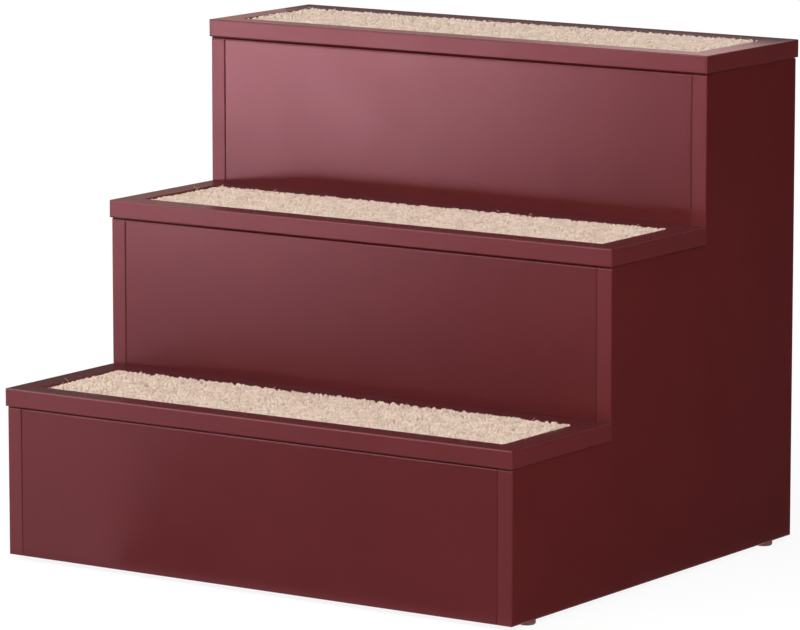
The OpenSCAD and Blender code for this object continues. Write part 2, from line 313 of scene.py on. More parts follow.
def softwood(name, axis):
    """Planed softwood with its grain along the x or the y axis."""
    material, tree, shader, place = new_material(name)
    drawn_out = [1.0, 1.0, 1.0]
    drawn_out["xyz".index(axis)] = STRETCH_SHARE
    grain_place = stretched(tree, place, drawn_out)
    bends = noise(tree, grain_place, BENDS_PER_METRE)
    bent = calculate(tree, "MULTIPLY", bends, RING_BEND)
    bent = calculate(tree, "ADD", part_of(tree, grain_place, "Z"), bent)
    turns = calculate(tree, "MULTIPLY", bent, 2 * math.pi / RING_SPACING)
    ring = spread(tree, calculate(tree, "SINE", turns), -0.2, 1.0)
    fibre = noise(tree, grain_place, WOOD_FIBRES_PER_METRE, 2.0, 0.65)
    wood = mixed(tree, ring, SPRING_WOOD, SUMMER_WOOD)
    wood = mixed(tree, spread(tree, fibre, 0.35, 0.75, 0.0, 0.30), wood, SUMMER_WOOD)
    tree.links.new(wood, shader.inputs["Base Color"])
    relief = raised(tree, fibre, 0.10 * MILLIMETRE)
    tree.links.new(raised(tree, ring, 0.06 * MILLIMETRE, relief), shader.inputs["Normal"])
    tree.links.new(spread(tree, fibre, 0.3, 0.7, 0.55, 0.72), shader.inputs["Roughness"])
    return material


wood_across = softwood("softwood_along_the_stairs_width", "x")
wood_deep = softwood("softwood_along_the_stairs_depth", "y")
for storey in STOREYS:
    dress(storey + "_rear_cleat", wood_across)
    dress(storey + "_left_cleat", wood_deep)
    dress(storey + "_right_cleat", wood_deep)
print("battens dressed:", 3 * len(STOREYS))

# %% [markdown]
# The joints hide small fittings: beech dowels, bright zinc-plated screws and bolts, and cam discs of
# cast alloy. Four brown plastic glides keep the board off the floor. They are small, so each gets
# one or two patterns: flecks for beech, a faint spangle for the plating, casting grain for the cams
# and scuffs for the plastic that slides over a floor.


# %% Fittings and glides
def flecked(name, first, second, per_metre, roughness, metallic, relief):
    """A finish of two colours in flecks, with roughness that follows them and a fine relief."""
    material, tree, shader, place = new_material(name, metallic=metallic)
    fleck = noise(tree, place, per_metre, 3.0, 0.6)
    tree.links.new(mixed(tree, spread(tree, fleck, 0.38, 0.64), first, second), shader.inputs["Base Color"])
    tree.links.new(spread(tree, fleck, 0.3, 0.7, *roughness), shader.inputs["Roughness"])
    fine = noise(tree, place, per_metre * 3.0)
    tree.links.new(raised(tree, fine, relief), shader.inputs["Normal"])
    return material


beech = flecked(
    "turned_beech", colour(0.60, 0.40, 0.22), colour(0.45, 0.27, 0.13),
    per_metre=900.0, roughness=(0.5, 0.65), metallic=0.0, relief=0.05 * MILLIMETRE)
zinc = flecked(
    "bright_zinc", colour(0.64, 0.65, 0.68), colour(0.52, 0.52, 0.52),
    per_metre=420.0, roughness=(0.22, 0.36), metallic=1.0, relief=0.01 * MILLIMETRE)
cast_alloy = flecked(
    "cast_alloy", colour(0.42, 0.42, 0.43), colour(0.33, 0.33, 0.34),
    per_metre=650.0, roughness=(0.42, 0.6), metallic=1.0, relief=0.04 * MILLIMETRE)
brown_plastic = flecked(
    "brown_plastic", colour(0.125, 0.036, 0.026), colour(0.180, 0.060, 0.045),
    per_metre=260.0, roughness=(0.45, 0.60), metallic=0.0, relief=0.03 * MILLIMETRE)

dress("dowels", beech)
dress("cam_discs", cast_alloy)
for fastener in ("cam_bolts", "cleat_screws", "tread_screws", "glide_nails"):
    dress(fastener, zinc)
for end in ("front", "rear"):
    for side in ("left", "right"):
        dress(end + "_" + side + "_glide", brown_plastic)
print("fittings dressed")

# %% [markdown]
# Each carpet strip is cut from a roll of cut-pile carpet. It has two parts: a woven backing, and
# plies of yarn that stand up from it. The backing is jute in a plain weave. Two sine waves, one along
# each axis, give threads that go over and under each other when they are multiplied.

# %% Woven jute
JUTE_LIGHT = colour(0.50, 0.40, 0.28)
JUTE_DARK = colour(0.27, 0.19, 0.12)
THREAD_PITCH = 1.6 * MILLIMETRE
JUTE_HAIRS_PER_METRE = 1500.0


def woven_backing():
    """Jute in a plain weave: two sets of threads that go over and under each other."""
    material, tree, shader, place = new_material("woven_jute_backing", 0.85)
    turns = 2 * math.pi / THREAD_PITCH
    warp = calculate(tree, "SINE", calculate(tree, "MULTIPLY", part_of(tree, place, "X"), turns))
    weft = calculate(tree, "SINE", calculate(tree, "MULTIPLY", part_of(tree, place, "Y"), turns))
    weave = spread(tree, calculate(tree, "MULTIPLY", warp, weft), -1.0, 1.0)
    hairs = noise(tree, place, JUTE_HAIRS_PER_METRE, 3.0, 0.7)
    shade = blended(tree, weave, 0.6, hairs, 0.4)
    tree.links.new(mixed(tree, shade, JUTE_DARK, JUTE_LIGHT), shader.inputs["Base Color"])
    tree.links.new(raised(tree, shade, 0.3 * MILLIMETRE), shader.inputs["Normal"])
    return material


jute = woven_backing()
print("backing material:", jute.name)

# %% [markdown]
# The backing is hardly seen, but it is the cloth itself, with a cut edge that is a little uneven. So
# it is a thin closed slab, and its outline wavers by a tenth of a millimetre or so. The outline is
# worked out as points: four rounded corners, straight runs in short steps between them, and then
# each point is moved inwards by a small chance amount.

# %% Carpet backing
BACKING_THICKNESS = 1.8 * MILLIMETRE
CORNER_RADIUS = 2.0 * MILLIMETRE
CORNER_STEPS = 4
EDGE_STEP = 3.0 * MILLIMETRE
EDGE_WAVER = 0.12 * MILLIMETRE


def corner_point(x, y, degrees):
    """A point on the round corner whose centre is at x and y."""
    angle = math.radians(degrees)
    return Vector((x + CORNER_RADIUS * math.cos(angle), y + CORNER_RADIUS * math.sin(angle), 0))


def strip_outline(low, high, chance):
    """Points round a rectangle with rounded corners, each moved inwards by a small chance amount."""
    points = []
    corners = (
        (high.x - CORNER_RADIUS, low.y + CORNER_RADIUS, -90),
        (high.x - CORNER_RADIUS, high.y - CORNER_RADIUS, 0),
        (low.x + CORNER_RADIUS, high.y - CORNER_RADIUS, 90),
        (low.x + CORNER_RADIUS, low.y + CORNER_RADIUS, 180),
    )
    for number, (x, y, first_angle) in enumerate(corners):
        for step in range(CORNER_STEPS + 1):
            points.append(corner_point(x, y, first_angle + 90 * step / CORNER_STEPS))
        start = points[-1]
        finish = corner_point(*corners[(number + 1) % len(corners)])
        pieces = int((finish - start).length / EDGE_STEP)
        for step in range(1, pieces):
            points.append(start.lerp(finish, step / pieces))
    centre = (low + high) / 2
    for point in points:
        inward = Vector((centre.x - point.x, centre.y - point.y, 0)).normalized()
        point += inward * chance.uniform(0, EDGE_WAVER)
    return points


def backing_slab(name, low, high, material, chance):
    """A thin closed slab with a wavering outline, as a mesh object."""
    outline = strip_outline(low, high, chance)
    mesh = bpy.data.meshes.new(name)
    shape = bmesh.new()
    bottom = [shape.verts.new((point.x, point.y, low.z)) for point in outline]
    shape.faces.new(list(reversed(bottom)))
    top = [shape.verts.new((point.x, point.y, low.z + BACKING_THICKNESS)) for point in outline]
    shape.faces.new(top)
    for number in range(len(outline)):
        after = (number + 1) % len(outline)
        shape.faces.new((bottom[number], bottom[after], top[after], top[number]))
    shape.to_mesh(mesh)
    shape.free()
    mesh.materials.append(material)
    slab = bpy.data.objects.new(name, mesh)
    bpy.context.scene.collection.objects.link(slab)
    return slab


backings = {}
for number, storey in enumerate(STOREYS):
    low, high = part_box(storey + "_carpet")
    backings[storey] = backing_slab(storey + "_carpet_backing", low, high, jute, random.Random(number))
    print(storey, "backing:", len(backings[storey].data.polygons), "faces")

# %% [markdown]
# The pile is some five thousand ends of thick yarn on each strip, far too many to place by hand, and
# a job for a particle system or for Geometry Nodes. Geometry Nodes give full control, so they are
# used here. The yarn end itself is a six-sided stick with a rounded tip, because a shape that is
# repeated thousands of times can only afford a few dozen faces. Smooth shading hides its corners.

# %% One end of yarn
PLY_SIDES = 6
PLY_PROFILE = ((0.0, 0.70), (0.62, 1.0), (0.88, 0.72))


def ply_mesh():
    """A closed stick of radius 1 and height 1: a narrow foot, a wide shoulder and a rounded tip."""
    shape = bmesh.new()
    rings = []
    for height, radius in PLY_PROFILE:
        ring = []
        for step in range(PLY_SIDES):
            angle = 2 * math.pi * step / PLY_SIDES
            ring.append(shape.verts.new((radius * math.cos(angle), radius * math.sin(angle), height)))
        rings.append(ring)
    tip = shape.verts.new((0.0, 0.0, 1.0))
    shape.faces.new(list(reversed(rings[0])))
    for step in range(PLY_SIDES):
        after = (step + 1) % PLY_SIDES
        for below, above in zip(rings, rings[1:]):
            shape.faces.new((below[step], below[after], above[after], above[step]))
        shape.faces.new((rings[-1][step], rings[-1][after], tip))
    mesh = bpy.data.meshes.new("yarn_ply")
    shape.to_mesh(mesh)
    shape.free()
    return mesh


ply = bpy.data.objects.new("yarn_ply", ply_mesh())
bpy.context.scene.collection.objects.link(ply)
print("one ply:", len(ply.data.polygons), "faces")

# %% [markdown]
# The yarn is dyed in one beige, and yet no two plies look alike: some are in shadow, some catch the
# light on their cut end, and some took the dye better. The Geometry Nodes tree writes a tone on each
# ply, and the material turns it into a colour between a shaded and a bright beige. A slow noise
# shifts the bright beige from sandy to pinkish over a tuft or two. A soft sheen at grazing angles
# stands for the fuzz on the yarn.

# %% Yarn finish
YARN_SHADED = colour(0.60, 0.43, 0.32)
YARN_SANDY = colour(0.955, 0.812, 0.648)
YARN_PINKISH = colour(0.975, 0.778, 0.685)
TINTS_PER_METRE = 110.0
YARN_HAIRS_PER_METRE = 2200.0
FUZZ = 0.25
FUZZ_ROUGHNESS = 0.5


def yarn(name):
    """Beige yarn whose tone comes from the ply, with fine hairs in its surface."""
    material, tree, shader, place = new_material(name, 0.9)
    tone = add_node(tree, "ShaderNodeAttribute", attribute_name="tone").outputs["Fac"]
    hairs = noise(tree, place, YARN_HAIRS_PER_METRE, 2.0, 0.6)
    shade = blended(tree, tone, 0.88, hairs, 0.12)
    tint = spread(tree, noise(tree, place, TINTS_PER_METRE, 1.0), 0.36, 0.64)
    bright = mixed(tree, tint, YARN_SANDY, YARN_PINKISH)
    tree.links.new(mixed(tree, shade, YARN_SHADED, bright), shader.inputs["Base Color"])
    tree.links.new(raised(tree, hairs, 0.2 * MILLIMETRE), shader.inputs["Normal"])
    shader.inputs["Sheen Weight"].default_value = FUZZ
    shader.inputs["Sheen Roughness"].default_value = FUZZ_ROUGHNESS
    return material


pile_yarn = yarn("beige_pile_yarn")
print("yarn material:", pile_yarn.name)

# %% [markdown]
# A Geometry Nodes tree is built in three moves: its inputs get names, nodes are added, and the last
# one hands the geometry out. Both trees here start from the same flat field, as long and wide as the
# carpet strip, on which points are scattered.


# %% Helpers for Geometry Nodes
def tree_inputs(tree, kinds):
    """Named inputs for a tree. It returns the identifier of each, which a modifier asks for."""
    identifiers = {}
    for name, kind in kinds.items():
        socket = tree.interface.new_socket(name, in_out="INPUT", socket_type="NodeSocket" + kind)
        identifiers[name] = socket.identifier
    return identifiers


def vector_math(tree, operation, first, second):
    """Adds, subtracts or scales vectors. The second input of SCALE is a number."""
    second_input = "Scale" if operation == "SCALE" else 1
    inputs = {0: first, second_input: second}
    return add_node(tree, "ShaderNodeVectorMath", inputs, operation=operation).outputs[0]


def random_number(tree, low, high, seed):
    """A random number for each point, between low and high."""
    inputs = {2: low, 3: high, "Seed": seed}
    return add_node(tree, "FunctionNodeRandomValue", inputs, data_type="FLOAT").outputs[1]


def random_vector(tree, size, seed):
    """A level random vector for each point, its X and Y between -size and size."""
    inputs = {0: (-size, -size, 0.0), 1: (size, size, 0.0), "Seed": seed}
    return add_node(tree, "FunctionNodeRandomValue", inputs, data_type="FLOAT_VECTOR").outputs[0]


def strip_field(tree, given):
    """A flat rectangle of the given Length and Width, with its middle at Foot."""
    grid = add_node(tree, "GeometryNodeMeshGrid", {
        "Size X": given["Length"], "Size Y": given["Width"], "Vertices X": 2, "Vertices Y": 2})
    inputs = {"Geometry": grid.outputs["Mesh"], "Translation": given["Foot"]}
    return add_node(tree, "GeometryNodeTransform", inputs).outputs[0]


def wobbled(tree, geometry, per_metre, detail, size):
    """Geometry whose points are each moved by noise, by half of size at most."""
    place = add_node(tree, "GeometryNodeInputPosition").outputs[0]
    wobble = add_node(tree, "ShaderNodeTexNoise", {"Vector": place, "Scale": per_metre, "Detail": detail})
    centred = vector_math(tree, "SUBTRACT", wobble.outputs["Color"], (0.5, 0.5, 0.5))
    inputs = {"Geometry": geometry, "Offset": vector_math(tree, "SCALE", centred, size)}
    return add_node(tree, "GeometryNodeSetPosition", inputs).outputs[0]


def toned(tree, instances, tone):
    """Instances that carry a tone, which the yarn's material reads."""
    inputs = {"Geometry": instances, "Name": "tone", "Value": tone}
    settings = {"data_type": "FLOAT", "domain": "INSTANCE"}
    return add_node(tree, "GeometryNodeStoreNamedAttribute", inputs, **settings).outputs[0]


# %% [markdown]
# In a cut pile neighbouring plies bunch up into tufts. A Voronoi texture divides the field into cells
# and says where the middle of each cell is. Each ply leans a little towards its middle, strays a
# little by chance, and is turned about its own axis.

# %% Lean of a ply
GATHER_SHARE = 0.35
STRAY = 0.30


def ply_turn(tree, given, to_middle, tufts_per_metre):
    """The rotation of each ply: towards the middle of its tuft, a little astray, and spun at random."""
    pull = calculate(tree, "MULTIPLY", tufts_per_metre, GATHER_SHARE)
    gather = vector_math(tree, "SCALE", to_middle, pull)
    lean = vector_math(tree, "ADD", gather, random_vector(tree, STRAY, given["Seed"]))
    upward = vector_math(tree, "ADD", lean, (0.0, 0.0, 1.0))
    upright = add_node(tree, "FunctionNodeAlignRotationToVector", {"Vector": upward}, axis="Z")
    turn = random_number(tree, 0.0, 2 * math.pi, given["Seed"])
    spin = add_node(tree, "ShaderNodeCombineXYZ", {"Z": turn})
    spin = add_node(tree, "FunctionNodeEulerToRotation", {0: spin.outputs[0]})
    inputs = {0: upright.outputs[0], 1: spin.outputs[0]}
    return add_node(tree, "FunctionNodeRotateRotation", inputs, rotation_space="LOCAL").outputs[0]


# %% [markdown]
# The height of a ply follows its tuft, with a little chance of its own. In the photograph the pile is
# pressed down at the left end of each strip, and on two of them it rises a little towards the back.
# Both are inputs of the tree, so that each strip can have its own.

# %% Height of a ply
SHORTEST_SHARE = 0.82
TUFT_HEIGHT_SHARE = 0.22
OWN_HEIGHT_SHARE = 0.08
HEIGHT_SEED = 7.0
PRESSED_SHARE = 0.45


def ply_height(tree, given, position, tuft_chance):
    """The height of each ply, by its tuft, by chance and by its place on the strip."""
    seed = calculate(tree, "ADD", given["Seed"], HEIGHT_SEED)
    own_chance = random_number(tree, 0.0, 1.0, seed)
    share = blended(tree, tuft_chance, TUFT_HEIGHT_SHARE, own_chance, OWN_HEIGHT_SHARE)
    share = calculate(tree, "ADD", share, SHORTEST_SHARE)
    own_height = calculate(tree, "MULTIPLY", given["Pile Height"], share)
    from_foot = vector_math(tree, "SUBTRACT", position, given["Foot"])
    back_share = calculate(tree, "DIVIDE", part_of(tree, from_foot, "Y"), given["Width"])
    back_share = calculate(tree, "ADD", back_share, 0.5)
    rise = calculate(tree, "MULTIPLY", back_share, given["Rise to Back"])
    half_length = calculate(tree, "MULTIPLY", given["Length"], 0.5)
    from_left_end = calculate(tree, "ADD", half_length, part_of(tree, from_foot, "X"))
    end_share = spread(tree, from_left_end, 0.0, given["Pressed End"], PRESSED_SHARE, 1.0)
    return calculate(tree, "MULTIPLY", calculate(tree, "ADD", own_height, rise), end_share)


# %% [markdown]
# The tone of a ply follows its tuft and chance too. Most plies get the same small lift on top of it,
# and a few in a hundred are dark instead: painted shade for the gaps that open between real tufts.

# %% Tone of a ply
TUFT_TONE_SHARE = 0.54
OWN_TONE_SHARE = 0.13
TONE_SEED = 13.0
LIGHT_PLY = 0.21
PAINTED_GAP_SHADE_PLY = -0.27
FIRST_DARK_SHARE = 0.90
FULL_DARK_SHARE = 0.97


def ply_tone(tree, given, tuft_chance):
    """The tone of each ply, from shaded to bright."""
    own_chance = random_number(tree, 0.0, 1.0, given["Seed"])
    dyed = blended(tree, tuft_chance, TUFT_TONE_SHARE, own_chance, OWN_TONE_SHARE)
    seed = calculate(tree, "ADD", given["Seed"], TONE_SEED)
    rank = random_number(tree, 0.0, 1.0, seed)
    # Painted shade: a few plies get a dark tone, for the shadow in the gaps between tufts.
    light = spread(tree, rank, FIRST_DARK_SHARE, FULL_DARK_SHARE, LIGHT_PLY, PAINTED_GAP_SHADE_PLY)
    return calculate(tree, "ADD", dyed, light)


# %% [markdown]
# Now the pile itself. Its inputs are the sizes that a carpet maker would name. Poisson scattering
# keeps any two plies at least one spacing apart. After Realize Instances every ply is real mesh, and a
# small noise moves its corners, so that no two plies keep the same shape.

# %% Pile tree
MOST_PLIES_PER_AREA = 1300000.0
PLY_WOBBLE = 1.5 * MILLIMETRE
PLY_WOBBLES_PER_METRE = 520.0


def pile_tree():
    """The Geometry Nodes tree that grows a pile, and the identifiers of its inputs."""
    tree = bpy.data.node_groups.new("carpet_pile", "GeometryNodeTree")
    tree.interface.new_socket("Pile", in_out="OUTPUT", socket_type="NodeSocketGeometry")
    identifiers = tree_inputs(tree, {
        "Length": "Float",
        "Width": "Float",
        "Foot": "Vector",
        "Ply": "Object",
        "Ply Spacing": "Float",
        "Ply Radius": "Float",
        "Pile Height": "Float",
        "Tuft Size": "Float",
        "Rise to Back": "Float",
        "Pressed End": "Float",
        "Seed": "Int",
        "Yarn": "Material",
    })
    given = add_node(tree, "NodeGroupInput").outputs
    scatter = add_node(tree, "GeometryNodeDistributePointsOnFaces", {
        "Mesh": strip_field(tree, given), "Distance Min": given["Ply Spacing"],
        "Density Max": MOST_PLIES_PER_AREA, "Seed": given["Seed"]}, distribute_method="POISSON")
    position = add_node(tree, "GeometryNodeInputPosition").outputs[0]
    tufts_per_metre = calculate(tree, "DIVIDE", 1.0, given["Tuft Size"])
    tuft = add_node(tree, "ShaderNodeTexVoronoi", {"Vector": position, "Scale": tufts_per_metre})
    tuft_chances = tuft.outputs["Color"]
    to_middle = vector_math(tree, "SUBTRACT", tuft.outputs["Position"], position)
    height = ply_height(tree, given, position, part_of(tree, tuft_chances, "X"))
    size = add_node(tree, "ShaderNodeCombineXYZ", {
        "X": given["Ply Radius"], "Y": given["Ply Radius"], "Z": height})
    shape = add_node(tree, "GeometryNodeObjectInfo", {"Object": given["Ply"]})
    planted = add_node(tree, "GeometryNodeInstanceOnPoints", {
        "Points": scatter.outputs["Points"], "Instance": shape.outputs["Geometry"],
        "Rotation": ply_turn(tree, given, to_middle, tufts_per_metre), "Scale": size.outputs[0]})
    tone = ply_tone(tree, given, part_of(tree, tuft_chances, "Y"))
    dyed = toned(tree, planted.outputs[0], tone)
    real = add_node(tree, "GeometryNodeRealizeInstances", {"Geometry": dyed}).outputs[0]
    moved = wobbled(tree, real, PLY_WOBBLES_PER_METRE, 2.0, PLY_WOBBLE)
    smooth = add_node(tree, "GeometryNodeSetShadeSmooth", {0: moved, "Shade Smooth": True}).outputs[0]
    finished = add_node(tree, "GeometryNodeSetMaterial", {"Geometry": smooth, "Material": given["Yarn"]})
    add_node(tree, "NodeGroupOutput", {"Pile": finished.outputs[0]})
    return tree, identifiers


def grown(name, tree, identifiers, values):
    """Runs a tree with these values on an empty mesh, and returns the result as a plain mesh object."""
    seedling = bpy.data.objects.new(name + "_seedling", bpy.data.meshes.new(name + "_seedling"))
    bpy.context.scene.collection.objects.link(seedling)
    modifier = seedling.modifiers.new("grow", "NODES")
    modifier.node_group = tree
    for label, value in values.items():
        modifier[identifiers[label]] = value
    graph = bpy.context.evaluated_depsgraph_get()
    mesh = bpy.data.meshes.new_from_object(seedling.evaluated_get(graph))
    bpy.data.objects.remove(seedling)
    mesh.name = name
    piece = bpy.data.objects.new(name, mesh)
    bpy.context.scene.collection.objects.link(piece)
    return piece


# %% [markdown]
# Each strip gets its own seed. The plies start inside the top of the backing, and their tips end
# about level with the painted rim, as the photograph shows: the front rim cuts the pile off in a
# crisp line, and at the back the tufts stand ragged against the paint.

# %% Grow the pile
PILE_INSET = 1.1 * MILLIMETRE
PLANTED_SHARE = 0.8
PLY_SPACING = 2.35 * MILLIMETRE
PLY_RADIUS = 1.85 * MILLIMETRE
TUFT_SIZE = 5.5 * MILLIMETRE
RISE_TO_BACK = {"lower": 1.0 * MILLIMETRE, "middle": 0.0, "upper": 0.4 * MILLIMETRE}
PRESSED_END = {"lower": 6.0 * MILLIMETRE, "middle": 6.0 * MILLIMETRE, "upper": 1.0 * MILLIMETRE}
FIRST_PILE_SEED = 11


def strip_place(low, high, foot_height):
    """The values that both trees take from a strip: its length and width, and its foot."""
    return {
        "Length": high.x - low.x - 2 * PILE_INSET,
        "Width": high.y - low.y - 2 * PILE_INSET,
        "Foot": ((low.x + high.x) / 2, (low.y + high.y) / 2, foot_height),
    }


pile_shape, pile_inputs = pile_tree()
piles = {}
for number, storey in enumerate(STOREYS):
    low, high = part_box(storey + "_carpet")
    foot_height = low.z + PLANTED_SHARE * BACKING_THICKNESS
    piles[storey] = grown(storey + "_carpet_pile", pile_shape, pile_inputs, {
        **strip_place(low, high, foot_height),
        "Ply": ply,
        "Ply Spacing": PLY_SPACING,
        "Ply Radius": PLY_RADIUS,
        "Pile Height": high.z - foot_height,
        "Tuft Size": TUFT_SIZE,
        "Rise to Back": RISE_TO_BACK[storey],
        "Pressed End": PRESSED_END[storey],
        "Seed": FIRST_PILE_SEED + number,
        "Yarn": pile_yarn,
    })
    piles[storey].data.calc_loop_triangles()
    print(storey, "pile:", len(piles[storey].data.loop_triangles), "triangles")
bpy.data.objects.remove(ply)

# %% [markdown]
# A few hairs always work loose and stand up from the pile. They are what tells the eye that a strip
# is soft. Each is a short bent curve: points are scattered thinly over the strip, a curve is set on
# each and turned at random, a noise bends it, and Curve to Mesh gives it a thickness.

# %% Hair tree
HAIR_SEED = 5.0
HAIR_WOBBLE = 2.0 * MILLIMETRE
HAIR_WOBBLES_PER_METRE = 260.0


def hair_tree():
    """The Geometry Nodes tree that scatters loose hairs, and the identifiers of its inputs."""
    tree = bpy.data.node_groups.new("loose_hairs", "GeometryNodeTree")
    tree.interface.new_socket("Hairs", in_out="OUTPUT", socket_type="NodeSocketGeometry")
    identifiers = tree_inputs(tree, {
        "Length": "Float",
        "Width": "Float",
        "Foot": "Vector",
        "Hairs per Area": "Float",
        "Hair Length": "Float",
        "Hair Radius": "Float",
        "Seed": "Int",
        "Yarn": "Material",
    })
    given = add_node(tree, "NodeGroupInput").outputs
    scatter = add_node(tree, "GeometryNodeDistributePointsOnFaces", {
        "Mesh": strip_field(tree, given), "Density": given["Hairs per Area"], "Seed": given["Seed"]})
    bent = add_node(tree, "GeometryNodeCurveQuadraticBezier", {
        "Resolution": 5, "Start": (0.0, 0.0, 0.0), "Middle": (0.05, 0.0, 0.75), "End": (0.75, 0.2, 0.85)})
    second_seed = calculate(tree, "ADD", given["Seed"], HAIR_SEED)
    tilt = random_number(tree, -0.5, 0.5, second_seed)
    spin = random_number(tree, 0.0, 2 * math.pi, given["Seed"])
    turn = add_node(tree, "ShaderNodeCombineXYZ", {"X": tilt, "Z": spin})
    size = calculate(tree, "MULTIPLY", given["Hair Length"], random_number(tree, 0.5, 1.0, second_seed))
    planted = add_node(tree, "GeometryNodeInstanceOnPoints", {
        "Points": scatter.outputs["Points"], "Instance": bent.outputs[0],
        "Rotation": turn.outputs[0], "Scale": size})
    dyed = toned(tree, planted.outputs[0], random_number(tree, 0.6, 1.0, given["Seed"]))
    real = add_node(tree, "GeometryNodeRealizeInstances", {"Geometry": dyed}).outputs[0]
    moved = wobbled(tree, real, HAIR_WOBBLES_PER_METRE, 1.0, HAIR_WOBBLE)
    section = add_node(tree, "GeometryNodeCurvePrimitiveCircle", {
        "Resolution": 3, "Radius": given["Hair Radius"]})
    tube = add_node(tree, "GeometryNodeCurveToMesh", {
        "Curve": moved, "Profile Curve": section.outputs[0], "Fill Caps": True})
    whole = add_node(tree, "GeometryNodeRealizeInstances", {"Geometry": tube.outputs[0]}).outputs[0]
    finished = add_node(tree, "GeometryNodeSetMaterial", {"Geometry": whole, "Material": given["Yarn"]})
    add_node(tree, "NodeGroupOutput", {"Hairs": finished.outputs[0]})
    return tree, identifiers


# %% [markdown]
# The hairs start just below the tips of the pile, so that each seems to come out of the yarn, and
# they wear the same yarn finish.

# %% Loose hairs
HAIR_SINK = 2.0 * MILLIMETRE
HAIRS_PER_AREA = 3000.0
HAIR_LENGTH = 5.0 * MILLIMETRE
HAIR_RADIUS = 0.15 * MILLIMETRE
FIRST_HAIR_SEED = 31
hair_shape, hair_inputs = hair_tree()
hairs = {}
for number, storey in enumerate(STOREYS):
    low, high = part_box(storey + "_carpet")
    hairs[storey] = grown(storey + "_carpet_hairs", hair_shape, hair_inputs, {
        **strip_place(low, high, high.z - HAIR_SINK),
        "Hairs per Area": HAIRS_PER_AREA,
        "Hair Length": HAIR_LENGTH,
        "Hair Radius": HAIR_RADIUS,
        "Seed": FIRST_HAIR_SEED + number,
        "Yarn": pile_yarn,
    })
    print(storey, "hairs:", len(hairs[storey].data.polygons), "faces")

# %% [markdown]
# Backing, pile and hairs belong together as one carpet strip that rides on the stairs' only body. The
# backing takes the place of the CAD model's plain slab, is as large as the strip is when it lies flat,
# and lies in the pocket of its tread. The pile and the hairs go where it goes.

# %% Lay the carpets
for storey in STOREYS:
    low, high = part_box(storey + "_carpet")
    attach(backings[storey], "root")
    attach(piles[storey], "root")
    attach(hairs[storey], "root")
    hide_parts(storey + "_carpet")
print("carpets laid:", len(backings))

# %% [markdown]
# The studio is a white floor without a horizon. Light Path tells which ray asks. To scattered light
# the floor is plain white paper. To the camera and to reflections it is mostly a glow, a little less
# near the stairs, with a small share of real diffuse white that keeps a soft shadow under them.

# %% Floor
FLOOR_SIZE = 60.0
PAPER_WHITE = 0.92
SHADOW_SHARE = 0.17
NEAR_GLOW = 0.89
FAR_GLOW = 1.0
GLOW_RISES = (0.6, 2.5)
WHITE = colour(1.0, 1.0, 1.0)


def seen_directly(tree):
    """1 for a ray from the camera or by way of a mirror or glass, and 0 for scattered light."""
    rays = add_node(tree, "ShaderNodeLightPath").outputs
    shiny = calculate(tree, "MAXIMUM", rays["Is Camera Ray"], rays["Is Glossy Ray"])
    return calculate(tree, "MAXIMUM", shiny, rays["Is Transmission Ray"])


def diffuse_grey(tree, level):
    """A plain diffuse surface."""
    return add_node(tree, "ShaderNodeBsdfDiffuse", {"Color": colour(level, level, level)}).outputs[0]


def floor_material():
    """Diffuse white to scattered light. To the camera mostly a glow, with a little shadow left in."""
    material = bpy.data.materials.new("white_floor")
    material.use_nodes = True
    tree = material.node_tree
    tree.nodes.clear()
    paper = diffuse_grey(tree, PAPER_WHITE)
    faint = diffuse_grey(tree, SHADOW_SHARE)
    place = add_node(tree, "ShaderNodeTexCoord").outputs["Object"]
    away = add_node(tree, "ShaderNodeVectorMath", {0: place}, operation="LENGTH").outputs["Value"]
    strength = spread(tree, away, *GLOW_RISES, NEAR_GLOW, FAR_GLOW)
    glow = add_node(tree, "ShaderNodeEmission", {"Color": WHITE, "Strength": strength}).outputs[0]
    lit = add_node(tree, "ShaderNodeAddShader", {0: faint, 1: glow}).outputs[0]
    both = add_node(tree, "ShaderNodeMixShader", {0: seen_directly(tree), 1: paper, 2: lit})
    add_node(tree, "ShaderNodeOutputMaterial", {"Surface": both.outputs[0]})
    return material


def flat_mesh(name, corners, material):
    """One face between four corners."""
    mesh = bpy.data.meshes.new(name)
    mesh.from_pydata([Vector(corner) for corner in corners], [], [(0, 1, 2, 3)])
    mesh.materials.append(material)
    return mesh


half = FLOOR_SIZE / 2
floor_corners = ((-half, -half, 0), (half, -half, 0), (half, half, 0), (-half, half, 0))
floor = bpy.data.objects.new("floor", flat_mesh("floor", floor_corners, floor_material()))
bpy.context.scene.collection.objects.link(floor)
print("floor:", FLOOR_SIZE, "m wide")

# %% [markdown]
# The world is white where it is seen, and otherwise only a faint fill, so that the lamps shape the
# light and the shadows stay soft but real.

# %% Surroundings
WORLD_FILL = 0.1
world = bpy.data.worlds.new("studio")
world.use_nodes = True
bpy.context.scene.world = world
sky = world.node_tree
sky.nodes.clear()
brightness = spread(sky, seen_directly(sky), 0.0, 1.0, WORLD_FILL, 1.0)
background = add_node(sky, "ShaderNodeBackground", {"Color": WHITE, "Strength": brightness})
add_node(sky, "ShaderNodeOutputWorld", {"Surface": background.outputs[0]})
print("world fill:", WORLD_FILL)

# %% [markdown]
# Four soft boxes, each about a metre across, light the stairs: a key at the left front, a fill at the
# right, one high in front and one overhead. Large boxes give soft shadows. The key is left out of
# mirror images, because its outline would stand in the lacquer as a hard-edged patch.


# %% Lights
def soft_box(name, place, target, size, power, mirrored=True):
    """A square area light at a place, turned towards a target. It can be left out of mirror images."""
    light = bpy.data.lights.new(name, "AREA")
    light.shape = "RECTANGLE"
    light.size = size
    light.size_y = size
    light.energy = power
    lamp = bpy.data.objects.new(name, light)
    lamp.location = place
    lamp.rotation_euler = (Vector(target) - Vector(place)).to_track_quat("-Z", "Y").to_euler()
    lamp.visible_glossy = mirrored
    bpy.context.scene.collection.objects.link(lamp)
    print(name, "with", power, "W")


